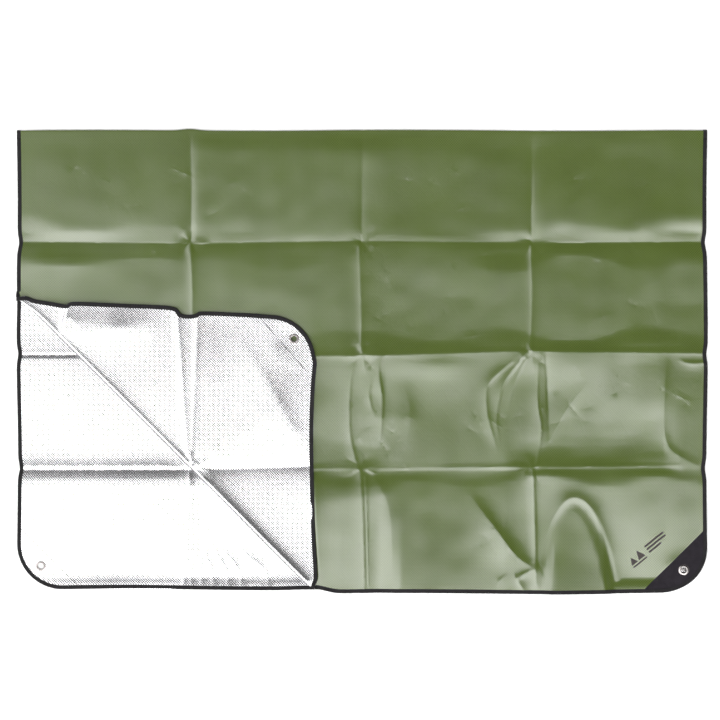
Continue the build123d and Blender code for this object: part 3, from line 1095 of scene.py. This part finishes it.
class Material:
    """A procedural material under construction."""

    def __init__(self, name):
        self.material = bpy.data.materials.new(name)
        self.material.use_nodes = True
        self.tree = self.material.node_tree
        self.surface = self.tree.nodes["Principled BSDF"]
        place = self.node("ShaderNodeAttribute", attribute_name="flat_place")
        self.place = place.outputs["Vector"]
        split = self.node("ShaderNodeSeparateXYZ")
        self.link(self.place, split.inputs[0])
        self.x, self.y = split.outputs[0], split.outputs[1]
        self.normal = None

    def node(self, kind, **settings):
        made = self.tree.nodes.new(kind)
        for name, value in settings.items():
            setattr(made, name, value)
        return made

    def link(self, output, socket):
        self.tree.links.new(output, socket)

    def set(self, **values):
        for name, value in values.items():
            self.surface.inputs[name.replace("_", " ")].default_value = value

    def math(self, operation, *values):
        made = self.node("ShaderNodeMath", operation=operation)
        for index, value in enumerate(values):
            if isinstance(value, (int, float)):
                made.inputs[index].default_value = value
            else:
                self.link(value, made.inputs[index])
        return made.outputs[0]

    def noise(self, scale, detail=3.0, distortion=0.0):
        made = self.node("ShaderNodeTexNoise")
        self.link(self.place, made.inputs["Vector"])
        made.inputs["Scale"].default_value = scale
        made.inputs["Detail"].default_value = detail
        made.inputs["Distortion"].default_value = distortion
        return made.outputs[0]

    def cell_edges(self, scale):
        made = self.node("ShaderNodeTexVoronoi", feature="DISTANCE_TO_EDGE")
        self.link(self.place, made.inputs["Vector"])
        made.inputs["Scale"].default_value = scale
        return made.outputs[0]

    def ramp(self, value, stops):
        made = self.node("ShaderNodeValToRGB")
        band = made.color_ramp
        while len(band.elements) < len(stops):
            band.elements.new(0.5)
        for element, (position, colour) in zip(band.elements, stops):
            element.position = position
            element.color = (*colour, 1)
        self.link(value, made.inputs[0])
        return made.outputs[0]

    def mix(self, share, first, second):
        made = self.node("ShaderNodeMix", data_type="RGBA")
        for socket, value in ((made.inputs[0], share), (made.inputs[6], first), (made.inputs[7], second)):
            if isinstance(value, (int, float)):
                socket.default_value = value
            elif isinstance(value, tuple):
                socket.default_value = (*value, 1)
            else:
                self.link(value, socket)
        return made.outputs[2]

    def bump(self, height, distance):
        made = self.node("ShaderNodeBump")
        made.inputs["Strength"].default_value = 1.0
        made.inputs["Distance"].default_value = distance
        self.link(height, made.inputs["Height"])
        if self.normal is not None:
            self.link(self.normal, made.inputs["Normal"])
        self.normal = made.outputs[0]
        self.link(self.normal, self.surface.inputs["Normal"])

    def colour(self, value):
        self.link(value, self.surface.inputs["Base Color"])

    def roughness(self, value, low, high):
        made = self.node("ShaderNodeMapRange")
        self.link(value, made.inputs["Value"])
        made.inputs["To Min"].default_value = low
        made.inputs["To Max"].default_value = high
        self.link(made.outputs[0], self.surface.inputs["Roughness"])

    def emboss(self, pitch):
        """The film's pressed lattice of small diamonds, from 0 in the grooves to 1 on the tops."""
        rate = math.tau / (pitch * math.sqrt(2))
        sums = [self.math("MULTIPLY", self.math(kind, self.x, self.y), rate) for kind in ("ADD", "SUBTRACT")]
        one, two = (self.math("SINE", value) for value in sums)
        return self.math("MULTIPLY_ADD", self.math("ADD", one, two), 0.25, 0.5)


emboss_pitch = 3.85 * mm


def film_material(name, dark, light, metallic, rough, emboss_depth, crinkle_depth, gloss, painted_groove_shade):
    """An embossed film, darkened in its grooves by painted shade, and faintly crinkled."""
    made = Material(name)
    lattice = made.emboss(emboss_pitch)
    patchy = made.noise(9.0, 4.0)
    fine = made.noise(140.0, 3.0)
    creased = made.cell_edges(26.0)
    tone = made.ramp(patchy, ((0.3, dark), (0.7, light)))
    # painted shade: the colour is darkened towards black in the lattice's grooves, standing for the shade the
    # emboss takes
    made.colour(made.mix(lattice, made.mix(painted_groove_shade, tone, (0.0, 0.0, 0.0)), tone))
    made.roughness(fine, *rough)
    made.set(Metallic=metallic, Specular_IOR_Level=gloss)
    made.bump(made.noise(22.0, 4.0, 0.6), crinkle_depth)
    made.bump(made.math("MINIMUM", creased, 0.10), crinkle_depth * 1.5)
    made.bump(lattice, emboss_depth)
    return made.material


def cloth_material(name, dark, light, pitch):
    """A plain weave."""
    made = Material(name)
    rate = math.tau / pitch
    warp = made.math("SINE", made.math("MULTIPLY", made.x, rate))
    weft = made.math("SINE", made.math("MULTIPLY", made.y, rate))
    weave = made.math("MULTIPLY_ADD", made.math("MULTIPLY", warp, weft), 0.5, 0.5)
    tone = made.ramp(made.noise(60.0, 4.0), ((0.35, dark), (0.65, light)))
    made.colour(made.mix(made.math("MULTIPLY", weave, 0.4), tone, light))
    made.roughness(made.noise(400.0), 0.62, 0.85)
    made.bump(made.noise(90.0, 3.0), 0.25 * mm)
    made.bump(weave, 0.14 * mm)
    made.set(Specular_IOR_Level=0.2)
    return made.material


# painted_groove_shade sets how far the emboss grooves are darkened by painted shade
olive = film_material(
    "olive_film", (0.070, 0.104, 0.0140), (0.082, 0.121, 0.0185), metallic=0.0, rough=(0.15, 0.22),
    emboss_depth=0.12 * mm, crinkle_depth=0.20 * mm, gloss=0.9, painted_groove_shade=0.6,
)
silver = film_material(
    "silver_film", (0.66, 0.66, 0.68), (0.76, 0.76, 0.77), metallic=0.95, rough=(0.18, 0.26),
    emboss_depth=0.16 * mm, crinkle_depth=0.12 * mm, gloss=0.5, painted_groove_shade=0.75,
)
tape_cloth = cloth_material("edge_tape", (0.006, 0.0055, 0.006), (0.012, 0.011, 0.012), 0.9 * mm)
patch_cloth = cloth_material("patch_cloth", (0.007, 0.0052, 0.008), (0.012, 0.0095, 0.0135), 0.8 * mm)
thread = cloth_material("thread", (0.010, 0.009, 0.010), (0.020, 0.018, 0.020), 0.5 * mm)


def speckled(name, tone_noise, stops, rough_scale, rough, **values):
    """A material whose tone and roughness each vary with a noise."""
    made = Material(name)
    made.colour(made.ramp(made.noise(*tone_noise), stops))
    made.roughness(made.noise(rough_scale), *rough)
    made.set(**values)
    return made


nickel_tones = ((0.3, (0.20, 0.185, 0.18)), (0.7, (0.28, 0.265, 0.26)))
nickel_maker = speckled("nickel", (300.0,), nickel_tones, 900.0, (0.14, 0.30), Metallic=1.0)
nickel_maker.bump(nickel_maker.noise(700.0), 0.02 * mm)
nickel = nickel_maker.material
ink_tones = ((0.3, (0.020, 0.015, 0.013)), (0.75, (0.034, 0.027, 0.022)))
ink_maker = speckled("print_ink", (250.0, 4.0), ink_tones, 500.0, (0.4, 0.6), Specular_IOR_Level=0.25)
ink_maker.bump(ink_maker.emboss(emboss_pitch), 0.15 * mm)
print_ink = ink_maker.material


def finish_piece(piece, material, slot_name, *replaced):
    piece.data.materials.clear()
    piece.data.materials.append(material)
    if replaced:
        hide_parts(*replaced)
    return piece


body_names = {"lower": "lower_half", "upper": "upper_half", "flap": "corner_flap"}
for ply_name, made in (("lower", lower_films), ("upper", upper_films), ("flap", flap_films)):
    finish_piece(made["outer_film"], olive, "olive_film", f"{ply_name}_outer_film")
    finish_piece(made["foil"], silver, "silver_film", f"{ply_name}_foil", f"{ply_name}_scrim")
    for piece in made.values():
        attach(piece, body_names[ply_name])


def bend_piece(piece):
    """Bakes a piece's placement into its mesh; the piece is not attached to either half."""
    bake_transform(piece)


for fold_name, made in folds.items():
    finish_piece(made["outer_film"], olive, "olive_film", f"{fold_name}_strip")
    finish_piece(made["foil"], silver, "silver_film", f"{fold_name}_strip")
    for piece in made.values():
        bend_piece(piece)

tape_nodes = {
    "lower_edge": "lower_binding",
    "upper_left_edge": "upper_binding",
    "upper_right_edge": "upper_binding",
    "flap_edge": "flap_binding",
}
for name in edge_runs:
    body = body_names[name.split("_")[0]]
    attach(finish_piece(tapes[name], tape_cloth, "edge_tape", tape_nodes[name]), body)
    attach(finish_piece(stitching[name], thread, "thread"), body)
for name in bend_ends:
    fold_name = "far_fold" if name.startswith("far_fold") else "corner_fold"
    bend_piece(finish_piece(tapes[name], tape_cloth, "edge_tape", f"{name}_binding"))
    bend_piece(finish_piece(stitching[name], thread, "thread"))

for name in patch_places:
    body = body_names[name.split("_")[0]]
    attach(finish_piece(patches[name], patch_cloth, "patch_cloth", f"{name}_patch"), body)
    for piece in patch_stitching[name]:
        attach(finish_piece(piece, thread, "thread"), body)
    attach(finish_piece(eyelets[name], nickel, "nickel", f"{name}_eyelet"), body)
    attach(finish_piece(washers[name], nickel, "nickel", f"{name}_washer"), body)

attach(finish_piece(mark, print_ink, "print_ink"), "upper_half")

# ---------------------------------------------------------------- width of a fold's strip laid flat

strip_width = 2 * flat_run + math.pi * fold_radius

# ---------------------------------------------------------------- floor, light and camera

floor_half = 14.0
floor_level = -0.9 * mm
corner_signs = ((-1, -1), (1, -1), (1, 1), (-1, 1))
floor_corners = [(x * floor_half, y * floor_half, floor_level) for x, y in corner_signs]
floor = make_object("studio_floor", floor_corners, [(0, 1, 2, 3)])
floor_tones = ((0.3, (0.90, 0.90, 0.90)), (0.7, (0.93, 0.93, 0.93)))
floor.data.materials.append(speckled("studio_floor", (1.5,), floor_tones, 4.0, (0.85, 0.95)).material)

sky = bpy.data.worlds.new("studio")
bpy.context.scene.world = sky
sky.use_nodes = True
sky_tree = sky.node_tree
background = sky_tree.nodes["Background"]


def sky_math(operation, *values):
    made = sky_tree.nodes.new("ShaderNodeMath")
    made.operation = operation
    for index, value in enumerate(values):
        if isinstance(value, (int, float)):
            made.inputs[index].default_value = value
        else:
            sky_tree.links.new(value, made.inputs[index])
    return made.outputs[0]


def sky_step(value, start, stop):
    made = sky_tree.nodes.new("ShaderNodeMapRange")
    made.interpolation_type = "SMOOTHSTEP"
    sky_tree.links.new(value, made.inputs["Value"])
    made.inputs["From Min"].default_value = start
    made.inputs["From Max"].default_value = stop
    return made.outputs[0]


def sky_band(value, start, full, fade, stop):
    """1 from full to fade, and 0 before start and after stop."""
    return sky_math("MULTIPLY", sky_step(value, start, full), sky_step(value, stop, fade))


coordinates = sky_tree.nodes.new("ShaderNodeTexCoord")
parts = sky_tree.nodes.new("ShaderNodeSeparateXYZ")
sky_tree.links.new(coordinates.outputs["Generated"], parts.inputs[0])
sky_x, sky_y, sky_z = parts.outputs


def sky_way(x_share, y_share):
    """How far a direction of the sky lies some way, level with the floor."""
    return sky_math("ADD", sky_math("MULTIPLY", sky_x, x_share), sky_math("MULTIPLY", sky_y, y_share))


# A large softbox hangs on the near left, from nearly overhead outwards. The rest of the ceiling is dim,
# dimmer still beyond the softbox, and the walls are pale.
room_glow = 0.15
wall_glow = 0.85
box_glow = 6.2
light_turn = math.radians(13)
nearness = sky_way(-math.sin(light_turn), -math.cos(light_turn))
sideways = sky_way(math.cos(light_turn), -math.sin(light_turn))
in_depth = sky_band(nearness, 0.01, 0.14, 0.60, 0.70)
in_width = sky_step(sky_math("ABSOLUTE", sideways), 0.62, 0.46)
softbox = sky_math("MULTIPLY", sky_math("MULTIPLY", in_depth, in_width), sky_step(sky_z, 0.0, 0.3))
# a narrower one on the left lights the sides of the sharper folds
leftness = sky_math("MULTIPLY", sky_x, -1.0)
strip_depth = sky_band(leftness, 0.20, 0.30, 0.60, 0.70)
strip_width = sky_step(sky_math("ABSOLUTE", sky_y), 0.50, 0.35)
strip_box = sky_math("MULTIPLY", sky_math("MULTIPLY", strip_depth, strip_width), 0.6)
softbox = sky_math("MAXIMUM", softbox, strip_box)
flag = sky_step(nearness, 0.35, 0.75)
dimming = sky_math("MULTIPLY_ADD", flag, -0.8, 1.0)
walls = sky_math("MULTIPLY", sky_step(sky_z, 0.62, 0.30), wall_glow)
room = sky_math("ADD", sky_math("MULTIPLY", dimming, room_glow), walls)
strength = sky_math("ADD", room, sky_math("MULTIPLY", softbox, box_glow))
sky_tree.links.new(strength, background.inputs["Strength"])
background.inputs["Color"].default_value = (1.0, 1.0, 1.0, 1)

# Straight above the middle of the blanket's outline, as in the photo; frame_width is what it takes in
camera_height = 5.0
frame_width = 1.5675
camera_data = bpy.data.cameras.new("camera")
camera_data.sensor_width = 36.0
camera_data.lens = camera_data.sensor_width * camera_height / frame_width
camera = bpy.data.objects.new("camera", camera_data)
camera.location = (-4.35 * mm, 3.27 * mm, camera_height)
bpy.context.scene.collection.objects.link(camera)
bpy.context.scene.camera = camera
bpy.context.scene.view_settings.view_transform = "Standard"
